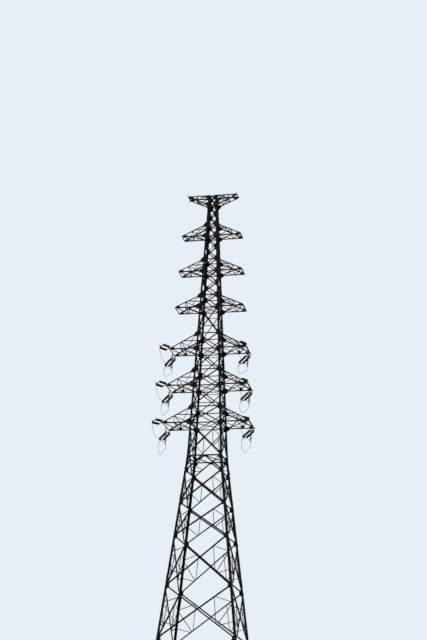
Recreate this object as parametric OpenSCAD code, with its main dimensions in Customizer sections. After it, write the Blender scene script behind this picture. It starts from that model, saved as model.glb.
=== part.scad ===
// Lattice transmission pylon for a sharp turn of the line, at half its real size, in millimetres.
// Six pairs of crossarms carry four circuits; the three lower pairs have insulators.
// X runs along the crossarms, Y along the line and Z up. The origin is on the axis of the
// tower, level with the undersides of the base plates. Near is -Y, away is +Y.

/* [Body] */
// Width between the leg heels at the ground
base_w = 6100; // [5200:50:7000]
// Width between the leg heels at the waist
waist_w = 2130; // [1800:10:2500]
// Width between the leg heels at the top
top_w = 535; // [500:5:900]

/* [Panels below the waist] */
// Height of the lowest bracing joint above the ground
foot_h = 300; // [280:10:500]
// Height of the lowest cross-braced panel
panel_1_h = 3200; // [2600:50:3800]
// Height of the second panel
panel_2_h = 3200; // [2600:50:3800]
// Height of the third panel
panel_3_h = 2965; // [2400:5:3500]
// Height of the fourth panel
panel_4_h = 2900; // [2300:50:3400]
// Height of the fifth panel
panel_5_h = 1990; // [1600:10:2500]
// Height of the sixth panel
panel_6_h = 1980; // [1500:10:2400]
// Height of the panel with a single V, right under the waist
waist_panel_h = 965; // [850:5:1300]

/* [Crossarms] */
// From the waist up to the lowest crossarm
first_arm_rise = 2000; // [1600:25:2400]
// Spacing of the three lower crossarms
lower_arm_gap = 2385; // [2100:5:2800]
// From the third crossarm up to the fourth
circuit_gap = 2760; // [2300:10:3200]
// Spacing of the three upper crossarms
upper_arm_gap = 2465; // [2100:5:2800]
// From the sixth crossarm up to the top of the tower
earth_arm_rise = 2915; // [2500:5:3300]
// Depth of a lower crossarm at the body
lower_arm_depth = 1030; // [800:5:1200]
// Depth of an upper crossarm at the body
upper_arm_depth = 845; // [650:5:1000]
// Depth of the earth-wire crossarm at the body
earth_arm_depth = 700; // [550:25:850]
// From the axis to the tip of the third crossarm
lower_arm_reach = 2430; // [2000:10:2700]
// From the axis to the tip of the sixth crossarm
upper_arm_reach = 1930; // [1600:10:2300]
// How much further each crossarm reaches than the one above it
reach_step = 127; // [0:1:200]
// From the axis to the tip of the earth-wire crossarm
earth_arm_reach = 1615; // [1300:5:1900]

/* [Steel sections] */
// Flange width of the legs below the waist
lower_leg = 140; // [115:5:160]
// Thickness of the legs below the waist
lower_leg_t = 12; // [9:1:14]
// Flange width of the legs above the waist
upper_leg = 116; // [90:2:130]
// Thickness of the legs above the waist
upper_leg_t = 9; // [7:1:12]
// Flange width of the diagonals below the waist
lower_brace = 76; // [60:1:90]
// Flange width of the diagonals above the waist
upper_brace = 58; // [44:1:66]
// Thickness of the diagonals
brace_t = 5; // [4:1:7]
// Flange width of the secondary struts
strut = 38; // [28:1:48]
// Thickness of the gusset plates and the struts
plate_t = 6; // [4:1:8]
// Flange width of the crossarm chords
chord = 68; // [52:1:80]
// Thickness of the crossarm chords
chord_t = 6; // [4:1:8]
// Flange width of the crossarm bracing
arm_brace = 42; // [30:1:50]
// Thickness of the crossarm bracing
arm_brace_t = 4; // [3:1:5]

/* [Base plates] */
// Side of a base plate
shoe_w = 500; // [420:10:600]
// Thickness of a base plate
shoe_t = 25; // [15:1:35]
// Height of the ribs on a base plate
rib_h = 240; // [150:10:260]
// Spacing of the anchor holes in one plate
anchor_gap = 370; // [320:5:400]
// Diameter of an anchor hole
anchor_d = 28; // [20:1:36]

/* [Insulators] */
// Diameter of an insulator disc
disc_d = 150; // [120:1:170]
// Length of one disc unit in a string
disc_pitch = 85; // [70:1:95]
// Discs in a tension string
tension_discs = 10; // [7:1:13]
// Discs in a jumper string
jumper_discs = 10; // [7:1:13]
// Spacing of the two strings of a pair
twin_gap = 280; // [220:5:340]
// Turn of the near span away from square to the crossarms, in degrees
near_turn = 12; // [0:1:30]
// Turn of the away span from square to the crossarms, in degrees
away_turn = 41; // [20:1:50]
// Dip of the near strings below level, in degrees
near_dip = 8; // [2:1:18]
// Dip of the away strings below level, in degrees
away_dip = 16; // [2:1:22]
// Tilt of the near pairs about their own direction, in degrees
near_tilt = 35; // [0:1:60]
// Swing of the jumper strings towards the inside of the turn, in degrees
jumper_swing = 1.5; // [0:0.5:10]

/* [Jumper wires] */
// Diameter of a jumper wire
wire_d = 20; // [14:1:26]
// How far the away loop of the lowest jumper hangs below the clamp of its string
loop_drop = 325; // [280:5:450]
// How much less it hangs down on each arm above
loop_step = 125; // [0:5:125]
// Where the bottom of that loop is, as a share of the way from the clamp to the away strings
loop_share = 0.6; // [0.45:0.01:0.7]

/* [Hidden] */
waist_z = foot_h + panel_1_h + panel_2_h + panel_3_h + panel_4_h + panel_5_h + panel_6_h + waist_panel_h;
lower_levels = running(foot_h, [panel_1_h, panel_2_h, panel_3_h, panel_4_h, panel_5_h, panel_6_h]);
arm_z = running(waist_z + first_arm_rise,
    [lower_arm_gap, lower_arm_gap, circuit_gap, upper_arm_gap, upper_arm_gap]);
top_z = arm_z[5] + earth_arm_rise;
earth_z = top_z - earth_arm_depth;
lower_slope = (base_w - waist_w) / 2 / waist_z;
upper_slope = (waist_w - top_w) / 2 / (top_z - waist_z);

// Leg width and thickness, brace width, outward direction and slope of the near face, and for
// the gussets, in brace widths: how far a brace laps over, how far the edge is from it, half width
lower_zone = [lower_leg, lower_leg_t, lower_brace, unit([0, -1, lower_slope]), lower_slope, [0.9, 0.7, 0.55]];
upper_zone = [upper_leg, upper_leg_t, upper_brace, unit([0, -1, upper_slope]), upper_slope, [1.4, 1.0, 0.62]];

bite = 0.5;             // how deep pieces of one weldment run into each other
leg_gap = 10;           // from the edge of a leg flange to a bar that stops short of it
waist_drop = 40;        // from the waist down to its horizontal bars
waist_lift = 50;        // from the waist up to the first joint of the upper body
arm_gap = 10;           // from a leg to the chord that points away from it
cover_t = 8;            // thickness of the cover over a leg joint
cover_half = 330;       // half the length of that cover
post_share = 0.57;      // where the post of a crossarm stands, from body to tip
post_plate = [190, 235]; // width and height of the plate behind the post of a lower crossarm
frame_plate = 180;      // length of the plates that join the level bracing at the waist
free_room = waist_panel_h; // room for a gusset that has nothing beside it
lug_t = 10;             // thickness of a lug that a string hangs on
pin_d = 20;             // diameter of the pin through a lug
strap_t = 8;            // thickness of each strap beside a lug
link_l = 130;           // from the pin of a lug to the yoke
jumper_link = 70;       // from the pin of a lug to the discs of a jumper string
yoke_l = 100;           // length of a yoke plate
clamp_l = 230;          // length of a dead-end clamp
clamp_tail = 60;        // length of the thin end of a clamp
clamp_d = 34;           // diameter of a dead-end clamp
jumper_clamp_l = 150;   // length of the clamp under a jumper string
cap_r = 27;             // radius of the metal cap of an insulator disc
rod_r = 11;             // radius of the pin of an insulator disc
down = [0, 0, -1];
corners = ["near_left", "near_right", "away_right", "away_left"];
faces = ["near", "right", "away", "left"];
sides = [-1, 1];
side_names = ["left", "right"];
arm_names = ["lower_arm_1", "lower_arm_2", "lower_arm_3", "upper_arm_1", "upper_arm_2", "upper_arm_3"];
hand = ["earth_arm", "near_strings", "away_strings", "jumper_strings", "jumper_wires"];

function unit(v) = v / norm(v);
function mix(p, q, t) = p + (q - p) * t;
function running(first, steps, i = 0) =
    i == len(steps) ? [first] : concat([first], running(first + steps[i], steps, i + 1));

// Half the width of the body between leg heels at height z
function half_w(z) = z < waist_z
    ? mix(base_w, waist_w, z / waist_z) / 2
    : mix(waist_w, top_w, (z - waist_z) / (top_z - waist_z)) / 2;

// A point of the near face
function on_face(x, z) = [x, -half_w(z), z];

function arm_depth(i) = i < 3 ? lower_arm_depth : upper_arm_depth;
function arm_reach(i) = i < 3 ? lower_arm_reach + reach_step * (2 - i) : upper_arm_reach + reach_step * (5 - i);

// Directions of the two spans: both turn towards the left
near_way = [-sin(near_turn) * cos(near_dip), -cos(near_turn) * cos(near_dip), -sin(near_dip)];
away_way = [-sin(away_turn) * cos(away_dip), cos(away_turn) * cos(away_dip), -sin(away_dip)];
hang_way = [-sin(jumper_swing), 0, -cos(jumper_swing)];

// Extrudes an outline from p to q, with its x axis along a direction square to the run
module swept(p, q, across, outline) {
    d = unit(q - p);
    up = cross(d, across);
    multmatrix([[across.x, up.x, d.x, p.x], [across.y, up.y, d.y, p.y], [across.z, up.z, d.z, p.z], [0, 0, 0, 1]])
        linear_extrude(norm(q - p)) polygon(outline);
}

// An angle bar flat against a face. Its flat flange starts at a depth behind the face
module flat_angle(p, q, out, size, t, depth, proud = false) {
    d = unit(q - p);
    stand = proud ? [depth + t, depth + t - size] : [depth, depth + size];
    near_edge = proud ? depth : depth + t;
    swept(p, q, unit(cross(-out, d)), [
        [size / 2, stand[0]], [-size / 2, stand[0]], [-size / 2, stand[1]],
        [t - size / 2, stand[1]], [t - size / 2, near_edge], [size / 2, near_edge]
    ]);
}

// An angle bar along the edge of two faces, between the depths t0 and t1 behind both
module corner_angle(p, q, out_1, out_2, size, t0, t1) {
    d = unit(q - p);
    way_1 = unit(cross(out_1, d));
    way_2 = unit(cross(out_2, d));
    flange_1 = way_1 * out_2 > 0 ? -way_1 : way_1;
    flange_2 = way_2 * out_1 > 0 ? -way_2 : way_2;
    up = cross(d, flange_1);
    g = [flange_2 * flange_1, flange_2 * up];
    turn = sign(g.y);
    in_1 = [0, turn];
    in_2 = turn * [g.y, -g.x];
    heel = ([1, 0] + g) / abs(g.y);
    swept(p, q, flange_1, [
        [size, 0] + in_1 * t0, heel * t0, g * size + in_2 * t0,
        g * size + in_2 * t1, heel * t1, [size, 0] + in_1 * t1
    ]);
}

// A plate in a face, drawn from a point with its x axis along side, starting at a depth behind it
module face_plate(at, side, out, depth, t, outline) {
    up = cross(out, side);
    multmatrix([[side.x, up.x, out.x, at.x], [side.y, up.y, out.y, at.y], [side.z, up.z, out.z, at.z], [0, 0, 0, 1]])
        translate([0, 0, -depth - t]) linear_extrude(t) polygon(outline);
}

module keep_between(z0, z1) {
    intersection() {
        children();
        translate([-base_w, -base_w, z0]) cube([2 * base_w, 2 * base_w, z1 - z0]);
    }
}

module both_sides() {
    children();
    mirror([1, 0, 0]) children();
}

module both_faces() {
    children();
    mirror([0, 1, 0]) children();
}

module on_side(side) {
    if (side < 0) children();
    else mirror([1, 0, 0]) children();
}

// Moves children from the z axis to a point, with z along a direction and x level
module aim(at, way) {
    side = abs(way.z) > 0.9 ? [0, 1, 0] : unit(cross(way, [0, 0, 1]));
    up = cross(way, side);
    multmatrix([[side.x, up.x, way.x, at.x], [side.y, up.y, way.y, at.y], [side.z, up.z, way.z, at.z], [0, 0, 0, 1]])
        children();
}

// Legs and base plates, drawn for the near left corner

module leg_run(z0, z1, zone, size, t0, t1) {
    run = z1 - z0;
    p = [-half_w(z0), -half_w(z0), z0];
    q = [-half_w(z1), -half_w(z1), z1];
    side_out = [zone[3].y, zone[3].x, zone[3].z];
    corner_angle(mix(p, q, -30 / run), mix(p, q, 1 + 30 / run), zone[3], side_out, size, t0, t1);
}

module lower_leg() {
    keep_between(shoe_t, waist_z)
        union() {
            leg_run(shoe_t, waist_z - 1, lower_zone, lower_leg, 0, lower_leg_t);
            leg_run(waist_z - cover_half, waist_z - 1, lower_zone, upper_leg - 5, -cover_t, bite);
        }
    for (i = [1, 3, 5])
        leg_cover(mix(lower_levels[i], lower_levels[i + 1], 0.18), lower_zone, lower_leg - 8);
    keep_between(waist_z - 4, waist_z + cover_half)
        leg_run(waist_z, waist_z + cover_half, upper_zone, upper_leg - 5, -cover_t, 0);
}

module upper_leg() {
    keep_between(waist_z, top_z)
        leg_run(waist_z, top_z - 1, upper_zone, upper_leg, 0, upper_leg_t);
    leg_cover(mix(arm_z[1] + lower_arm_depth, arm_z[2], 0.5), upper_zone, upper_leg - 8);
    leg_cover(mix(arm_z[3] + upper_arm_depth, arm_z[4], 0.25), upper_zone, upper_leg - 8);
}

module leg_cover(z, zone, size) {
    keep_between(z - cover_half / 2, z + cover_half / 2)
        leg_run(z - cover_half / 2, z + cover_half / 2, zone, size, -cover_t, bite);
}

module base_shoe() {
    heel = half_w(shoe_t);
    shift = lower_leg * 0.4;
    difference() {
        translate([shift - heel, shift - heel, shoe_t / 2]) cube([shoe_w, shoe_w, shoe_t], center = true);
        for (x = sides) for (y = sides)
            translate([shift - heel + x * anchor_gap / 2, shift - heel + y * anchor_gap / 2, -1])
                cylinder(d = anchor_d, h = shoe_t + 2, $fn = 32);
    }
    shoe_ribs();
    mirror([1, -1, 0]) shoe_ribs();
}

// Ribs from the plate to the outside of one leg flange
module shoe_ribs() {
    foot = shoe_t - bite;
    reach = shoe_w / 2 - lower_leg * 0.4 - 15;
    for (share = [0.3, 0.8])
        translate([lower_leg * share - half_w(shoe_t) - plate_t, 0, 0])
            rotate([90, 0, 90])
                linear_extrude(2 * plate_t)
                    polygon([
                        [-half_w(foot), foot], [-half_w(foot) - reach, foot],
                        [-half_w(foot) - reach, foot + 50], [-half_w(rib_h) - 30, rib_h], [-half_w(rib_h), rib_h]
                    ]);
}

// Faces of the body, drawn for the near face

// Where the bars of a face meet a leg, on the right for side = 1
function leg_joint(side, z, zone) = on_face(side * (half_w(z) - zone[0] / 2), z);
function cross_z(z0, z1, zone) =
    mix(z0, z1, (half_w(z0) - zone[0] / 2) / (half_w(z0) + half_w(z1) - zone[0]));

// How much of a bar is cut off so that it stops short of the leg flange
function leg_trim(p, q, zone) =
    let (d = unit(q - p), level = abs(d.x))
    (zone[0] / 2 + leg_gap + zone[2] / 2 * abs(d.z)) / level;

module brace(p, q, zone, proud, trim_q = -1) {
    d = unit(q - p);
    trim = leg_trim(p, q, zone);
    depth = proud ? zone[1] + bite - brace_t : zone[1] + plate_t - bite;
    flat_angle(p + d * trim, q - d * (trim_q < 0 ? trim : trim_q), zone[3], zone[2], brace_t, depth, proud);
}

module face_strut(p, q, zone) {
    flat_angle(p, q, zone[3], strut, plate_t, zone[1]);
}

// Two diagonals that cross with a packing plate between them
module cross_panel(z0, z1, zone) {
    brace(leg_joint(-1, z0, zone), leg_joint(1, z1, zone), zone, true);
    brace(leg_joint(1, z0, zone), leg_joint(-1, z1, zone), zone, false);
    pack = zone[2] * 0.75;
    face_plate(on_face(0, cross_z(z0, z1, zone)), [1, 0, 0], zone[3], zone[1], plate_t,
        [[0, -pack], [pack, 0], [0, pack], [-pack, 0]]);
}

// Slope of the diagonals of a panel
function steepness(z0, z1, zone) = (z1 - z0) / (half_w(z0) + half_w(z1) - zone[0]);

// Two corners of a gusset where it carries the end of a diagonal. Slope 0 means a level bar
function gusset_end(slope, zone, way) =
    let (d = unit([1, slope]), run = zone[0] / 2 + leg_gap + zone[2] * (0.5 * d.y + zone[5][0] * d.x),
        wide = zone[5][2] * zone[2], x = zone[0] / 2 + run, z = run * slope)
    [[x + wide * d.y, way * (z - wide * d.x)], [x - wide * d.y, way * (z + wide * d.x)]];

// Gusset plates on both legs for diagonals of given slopes below and above a joint
module leg_gussets(z, zone, slope_below, slope_above, room_below = free_room, room_above = free_room) {
    inner = zone[1] + plate_t + 6;
    low = gusset_end(slope_below, zone, -1);
    high = gusset_end(slope_above, zone, 1);
    below = min(room_below, zone[5][1] * zone[2] - low[1].y);
    above = min(room_above, zone[5][1] * zone[2] + high[1].y);
    middle = slope_below == 0 ? [high[0]] : slope_above == 0 ? [low[0]] : [low[0], high[0]];
    both_sides()
        face_plate(on_face(-half_w(z), z), [1, 0, 0], zone[3], zone[1], plate_t, concat(
            [[inner - below * zone[4], -below], [low[1].x, max(low[1].y, -below)]], middle,
            [[high[1].x, min(high[1].y, above)], [inner + above * zone[4], above]]
        ));
}

// A level bar from leg to leg, with its second flange flat underneath
module face_rail(z, zone) {
    behind = -zone[3] * (zone[1] + plate_t - bite);
    low = z - zone[2] / 2;
    end = half_w(low) - zone[0] - leg_gap;
    corner_angle(on_face(-end, low) + behind, on_face(end, low) + behind, zone[3], down, zone[2], 0, brace_t);
}

// Secondary struts in the triangles beside a crossing. A tall panel has one more on each side
module side_struts(z0, z1, zone, tall) {
    middle = on_face(0, cross_z(z0, z1, zone));
    for (side = sides) {
        top = leg_joint(side, z1, zone);
        foot = leg_joint(side, z0, zone);
        high = mix(z0, z1, tall ? 0.66 : 0.52);
        face_strut(mix(foot, middle, 0.5), mix(top, middle, 0.5), zone);
        face_strut(mix(top, middle, 0.47), leg_joint(side, high + strut, zone), zone);
        face_strut(leg_joint(side, high - strut, zone), mix(foot, middle, 0.47), zone);
        if (tall) face_strut(mix(foot, middle, 0.44), leg_joint(side, mix(z0, z1, 0.31), zone), zone);
    }
}

// A thin bar from leg to leg through a crossing
module crossing_strut(z0, z1, zone) {
    z = cross_z(z0, z1, zone);
    face_strut(leg_joint(-1, z, zone), leg_joint(1, z, zone), zone);
}

module waist_v() {
    zone = lower_zone;
    z = waist_z - waist_drop;
    last = lower_levels[6];
    reach = 2.4 * lower_brace;
    both_sides() {
        brace(leg_joint(-1, last, zone), on_face(0, z), zone, true, lower_brace * 0.8);
        foot = leg_joint(-1, last, zone);
        face_strut(mix(foot, on_face(0, z), 0.53), leg_joint(-1, mix(last, z, 0.8), zone), zone);
        face_strut(leg_joint(-1, mix(last, z, 0.42), zone), mix(foot, on_face(0, z), 0.46), zone);
    }
    face_plate(on_face(0, z), [1, 0, 0], zone[3], zone[1], plate_t, [
        [-reach, 34], [-reach, -42], [-reach / 2, -125], [reach / 2, -125], [reach, -42], [reach, 34]
    ]);
}

module lower_face() {
    zone = lower_zone;
    for (i = [0 : 5]) {
        z0 = lower_levels[i];
        z1 = lower_levels[i + 1];
        cross_panel(z0, z1, zone);
        side_struts(z0, z1, zone, i < 4);
        leg_gussets(z0, zone, i == 0 ? 0 : steepness(lower_levels[i - 1], z0, zone), steepness(z0, z1, zone));
    }
    last = lower_levels[6];
    v_slope = (waist_z - waist_drop - last) / (half_w(last) - lower_leg / 2);
    leg_gussets(last, zone, steepness(lower_levels[5], last, zone), v_slope);
    waist_v();
    face_rail(waist_z - waist_drop, zone);
    leg_gussets(waist_z - waist_drop, zone, 1, 0, room_above = waist_drop - 15);
}

// Joints of the upper body, from the waist to the top
upper_levels = concat(
    [waist_z + waist_lift],
    [for (i = [0 : 2]) each [arm_z[i], arm_z[i] + lower_arm_depth]],
    [for (i = [3 : 5]) each [arm_z[i], arm_z[i] + upper_arm_depth,
        (arm_z[i] + upper_arm_depth + (i < 5 ? arm_z[i + 1] : earth_z)) / 2]],
    [earth_z, top_z - upper_brace]
);
// Levels where a bar crosses the face
rail_levels = concat([for (i = [0 : 5]) each [arm_z[i], arm_z[i] + arm_depth(i)]], [earth_z, top_z - upper_brace]);

module upper_face() {
    zone = upper_zone;
    for (i = [0 : len(upper_levels) - 2])
        cross_panel(upper_levels[i], upper_levels[i + 1], zone);
    last = len(upper_levels) - 1;
    for (i = [0 : last])
        leg_gussets(upper_levels[i], zone,
            i == 0 ? 0 : steepness(upper_levels[i - 1], upper_levels[i], zone),
            i == last ? 0 : steepness(upper_levels[i], upper_levels[i + 1], zone),
            i == 0 ? waist_lift - 15 : free_room, i == last ? upper_brace * 0.9 : free_room);
    for (z = rail_levels) face_rail(z, zone);
    side_struts(upper_levels[0], upper_levels[1], zone, false);
    for (i = [0 : 2])
        crossing_strut(arm_z[i] + lower_arm_depth, arm_z[i + 1], zone);
}

// Level bracing inside the body

// A bar on the level flanges of the rails, above them or below
module level_bar(p, q, size, t, above) {
    if (above) flat_angle(p, q, down, size, t, 0);
    else flat_angle(p, q, [0, 0, 1], size, t, 0);
}

// Height of the top of the level flange of a rail
function flange_top(z, zone) = z - zone[2] / 2 + brace_t;

module waist_frame() {
    zone = lower_zone;
    top = flange_top(waist_z - waist_drop, zone);
    w = half_w(waist_z - waist_drop) - lower_leg_t - plate_t - 20;
    corner_in = w - lower_leg - 40;
    both_sides() {
        level_bar([-30, -w, top], [-corner_in, w - 8, top], upper_brace, brace_t, true);
        level_bar([-30, w, top - brace_t], [-corner_in, 8 - w, top - brace_t], upper_brace, brace_t, false);
        translate([-corner_in / 2 - 15, 0, top - brace_t - bite])
            cylinder(d = upper_brace * 0.8, h = brace_t + 2 * bite, $fn = 24);
    }
    for (end = [[-w, top + brace_t - bite], [w - upper_brace, top - 2 * brace_t - plate_t + bite]])
        translate([-frame_plate / 2, end.x, end.y]) cube([frame_plate, upper_brace, plate_t]);
}

// Two crossed bars on the rails of one level
module level_cross(z) {
    zone = upper_zone;
    top = flange_top(z, zone);
    w = half_w(z) - upper_leg_t - plate_t - 12;
    inset = upper_leg + leg_gap + arm_brace;
    end = w - inset;
    level_bar([-end, -w, top], [end, w, top], arm_brace, arm_brace_t, true);
    level_bar([end, -w, top - brace_t], [-end, w, top - brace_t], arm_brace, arm_brace_t, false);
    translate([0, 0, top - brace_t - bite])
        cylinder(d = arm_brace * 0.9, h = brace_t + 2 * bite, $fn = 24);
}

module body_frames() {
    for (i = [0 : 5]) level_cross(arm_z[i]);
    level_cross(top_z - upper_brace);
}

// Crossarms, drawn for the left side

// A chord with one flange in the near face and the other in a face with outward direction out
module arm_chord(p, q, out) {
    corner_angle(p - upper_zone[3] * -bite, q - upper_zone[3] * -bite, upper_zone[3], out, chord, 0, chord_t);
}

// A bar between chords, against their inside
module arm_bar(p, q, out, proud = false) {
    flat_angle(p, q, out, arm_brace, arm_brace_t, proud ? bite - arm_brace_t : chord_t - 2 * bite, proud);
}

// A gusset on the outside of a leg that carries a chord. Rise is the slope of the chord
module arm_gusset(z, rise) {
    wide = 1.5 * upper_leg;
    tall = 1.35 * chord;
    high = min(2 * tall, top_z - z);
    face_plate(on_face(-half_w(z), z), [1, 0, 0], upper_zone[3], -plate_t, plate_t, [
        [0.85 * upper_leg, -2 * tall], [0.85 * upper_leg, high], [-0.1 * upper_leg, high],
        [-wide, min(tall, high) + wide * rise], [-wide, wide * rise - tall], [-0.1 * upper_leg, -2 * tall]
    ]);
}

// The whole frame of a crossarm: level chords at level_z, sloping ones from slant_z at the body
module arm_frame(level_z, slant_z, reach) {
    up = sign(slant_z - level_z);
    out = upper_zone[3];
    heel_z = level_z;
    tip_in = chord * 1.5;
    slant_tip_z = level_z + up * 2.05 * chord;
    body_x = -half_w(level_z) - arm_gap;
    slant_x = -half_w(slant_z) - arm_gap;
    level_p = on_face(body_x, heel_z);
    level_q = on_face(-reach, heel_z);
    slant_p = on_face(slant_x, slant_z);
    slant_q = on_face(tip_in - reach, slant_tip_z);
    level_out = [0, 0, -up];
    slant_way = unit(slant_q - slant_p);
    slant_out = unit(cross([0, up, 0], slant_way));
    post_x = mix(body_x, -reach, post_share);
    post_share_slant = (post_x - slant_p.x) / (slant_q.x - slant_p.x);
    post_top = mix(slant_p, slant_q, post_share_slant);
    post_foot = on_face(post_x, level_z + up * chord * 0.3);
    inner = chord * 0.5;
    both_faces() {
        arm_chord(level_p, level_q, level_out);
        arm_chord(slant_p, slant_q, slant_out);
        arm_bar(post_foot, mix(post_top, post_foot, 0.06), out);
        arm_bar(mix(post_top, post_foot, 0.08), on_face(body_x - chord * 1.6, level_z + up * chord * 0.5), out);
        arm_gusset(level_z + up * chord / 2, 0);
        arm_gusset(slant_z - up * chord / 2, slant_way.z / -slant_way.x);
        face_plate(on_face(-reach, level_z), [1, 0, 0], out, chord_t - 2 * bite, plate_t, [
            [2, up * 3], [chord * 4.2, up * 3], [chord * 5.4, up * chord * 1.4],
            [chord * 3.4, up * chord * 2.1], [chord, up * chord * 1.85], [2, up * chord * 1.05]
        ]);
    }
    // Level bracing: a strut at the post, and crossed bars on both sides of it
    near_post = on_face(post_x, level_z) + [0, inner, 0];
    near_body = on_face(body_x - chord, level_z) + [0, inner, 0];
    near_tip = on_face(chord * 1.6 - reach, level_z) + [0, inner, 0];
    arm_bar(near_post, [near_post.x, -near_post.y, near_post.z], level_out);
    arm_bar(near_body, far_of(near_post) + [inner * 1.3, 8, 0], level_out);
    arm_bar(far_of(near_body), near_post + [inner * 1.3, -8, 0], level_out, true);
    arm_bar(near_tip, far_of(near_post) + [inner * -1.4, 5, 0], level_out);
    // Sloping bracing between the slanting chords
    up_body = mix(slant_p, slant_q, 0.06);
    up_post = post_top;
    arm_bar(inset_y(up_post, inner), inset_y(far_of(up_post), inner), slant_out);
    arm_bar(inset_y(up_body, inner), inset_y(far_of(mix(up_post, slant_p, 0.08)), inner), slant_out);
    arm_bar(inset_y(far_of(up_body), inner), inset_y(mix(up_post, slant_p, 0.08), inner), slant_out, true);
    // The beam across the tip
    beam_p = on_face(4 - reach, level_z + up * (chord_t - bite)) + [0, chord_t - 2 * bite, 0];
    corner_angle(beam_p, far_of(beam_p), [-1, 0, 0], level_out, chord, 0, chord_t);
}

// The plate on the away face of a lower crossarm, in front of the foot of its post
module post_cover(level_z, reach) {
    post_x = mix(-half_w(level_z) - arm_gap, -reach, post_share);
    x = post_plate.x / 2;
    high = post_plate.y;
    mirror([0, 1, 0])
        face_plate(on_face(post_x, level_z), [1, 0, 0], upper_zone[3], -plate_t, plate_t,
            [[-x, 6], [x, 6], [x, high * 0.7], [x * 0.7, high], [-x * 0.7, high], [-x, high * 0.7]]);
}

function far_of(p) = [p.x, -p.y, p.z];
function inset_y(p, d) = [p.x, p.y - sign(p.y) * d, p.z];

// Lugs that the strings of a crossarm hang on
function string_point(side, i, way) =
    [side * (arm_reach(i) - chord * 0.4), (way.y < 0 ? -1 : 1) * (half_w(arm_z[i]) + 60), arm_z[i] + 5];
function hang_point(side, i) = [side * (arm_reach(i) - chord * 0.5), 0, arm_z[i] - 45];

module lug(at, way, root) {
    aim(at, way)
        rotate([90, 0, 0])
            translate([0, 0, -lug_t / 2])
                linear_extrude(lug_t)
                    difference() {
                        polygon([[-55, -root], [55, -root], [24, 10], [12, 24], [-12, 24], [-24, 10]]);
                        circle(d = pin_d + 2, $fn = 24);
                    }
}

module crossarm(i, side) {
    on_side(side) {
        arm_frame(arm_z[i], arm_z[i] + arm_depth(i), arm_reach(i));
        if (i < 3) post_cover(arm_z[i], arm_reach(i));
    }
    if (i < 3) {
        lug(string_point(side, i, near_way), near_way, 75);
        lug(string_point(side, i, away_way), away_way, 105);
        lug(hang_point(side, i), hang_way, 54);
    }
}

function earth_point(side, way) =
    [side * (earth_arm_reach - chord * 0.4), (way.y < 0 ? -1 : 1) * (half_w(top_z) + 60), top_z - chord * 0.55];

module earth_arm(side) {
    on_side(side) arm_frame(top_z, earth_z, earth_arm_reach);
    lug(earth_point(side, near_way), near_way, 75);
    lug(earth_point(side, away_way), away_way, 105);
}

// Insulators

// Radius and height of the outline of one disc unit, from its cap
function disc_outline(z) = [
    [cap_r, z], [cap_r, z + disc_pitch * 0.44], [disc_d / 2 - 4, z + disc_pitch * 0.68],
    [disc_d / 2, z + disc_pitch * 0.76], [disc_d / 2 - 6, z + disc_pitch * 0.8],
    [rod_r, z + disc_pitch * 0.76], [rod_r, z + disc_pitch]
];

module disc_string(count, lead) {
    tail = 45;
    rotate_extrude($fn = 40)
        polygon(concat(
            [[0, -lead], [rod_r, -lead], [rod_r, 0]],
            [for (k = [0 : count - 1]) each disc_outline(k * disc_pitch)],
            [[rod_r, count * disc_pitch + tail], [0, count * disc_pitch + tail]]
        ));
}

module upright_plate(t, outline) {
    rotate([90, 0, 0]) translate([0, 0, -t / 2]) linear_extrude(t) polygon(outline);
}

// Two straps and a pin around a lug at the origin, running along z
module strap_pair(length) {
    for (side = sides)
        translate([0, side * (lug_t + strap_t) / 2, 0])
            upright_plate(strap_t, [[-20, -22], [20, -22], [20, length], [-20, length]]);
    rotate([90, 0, 0]) cylinder(d = pin_d, h = lug_t + 2 * strap_t + 24, center = true, $fn = 24);
}

module yoke(z, toward) {
    wide = twin_gap / 2 + 32;
    translate([0, 0, z])
        upright_plate(lug_t + 2 * bite, [
            [-32, 0], [32, 0], [wide, toward * yoke_l * 0.6], [wide, toward * yoke_l],
            [-wide, toward * yoke_l], [-wide, toward * yoke_l * 0.6]
        ]);
}

function tension_length() = link_l + 2 * yoke_l + 50 + tension_discs * disc_pitch;

// A pair of strings between two yokes, turned about its own direction past the straps
module tension_set(tilt) {
    strings_z = link_l + yoke_l + 25;
    end_z = tension_length();
    strap_pair(link_l);
    translate([0, 0, link_l - 16]) cylinder(d = 46, h = 34, $fn = 24);
    rotate([0, 0, tilt]) {
        yoke(link_l, 1);
        for (side = sides)
            translate([side * twin_gap / 2, 0, strings_z]) disc_string(tension_discs, 45);
        yoke(end_z + 10, -1);
    }
    translate([0, 0, end_z - 10]) cylinder(d = clamp_d, h = clamp_l, $fn = 24);
    translate([0, 0, end_z - 10 + clamp_l]) cylinder(d = clamp_d * 0.7, h = clamp_tail, $fn = 24);
}

// Where a jumper leaves a dead-end clamp, and the direction it leaves in
function terminal_way(way) = unit([way.x * 0.25, way.y * -0.35, -1]);
function terminal_root(at, way) = at + way * (tension_length() + clamp_l - 30);
function terminal_end(at, way) = terminal_root(at, way) + terminal_way(way) * 110;

module terminal(at, way) {
    root = terminal_root(at, way);
    swept_round(root, terminal_end(at, way), wire_d * 1.5);
}

module swept_round(p, q, d) {
    aim(p, unit(q - p)) cylinder(d = d, h = norm(q - p), $fn = 24);
}

module string_set(side, way) {
    for (i = [0 : 2]) {
        at = string_point(side, i, way);
        aim(at, way) tension_set(way.y < 0 ? near_tilt : 0);
        terminal(at, way);
    }
}

function jumper_length() = jumper_link + jumper_discs * disc_pitch + 55;
function jumper_centre(side, i) = hang_point(side, i) + hang_way * (jumper_length() + 60);

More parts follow.
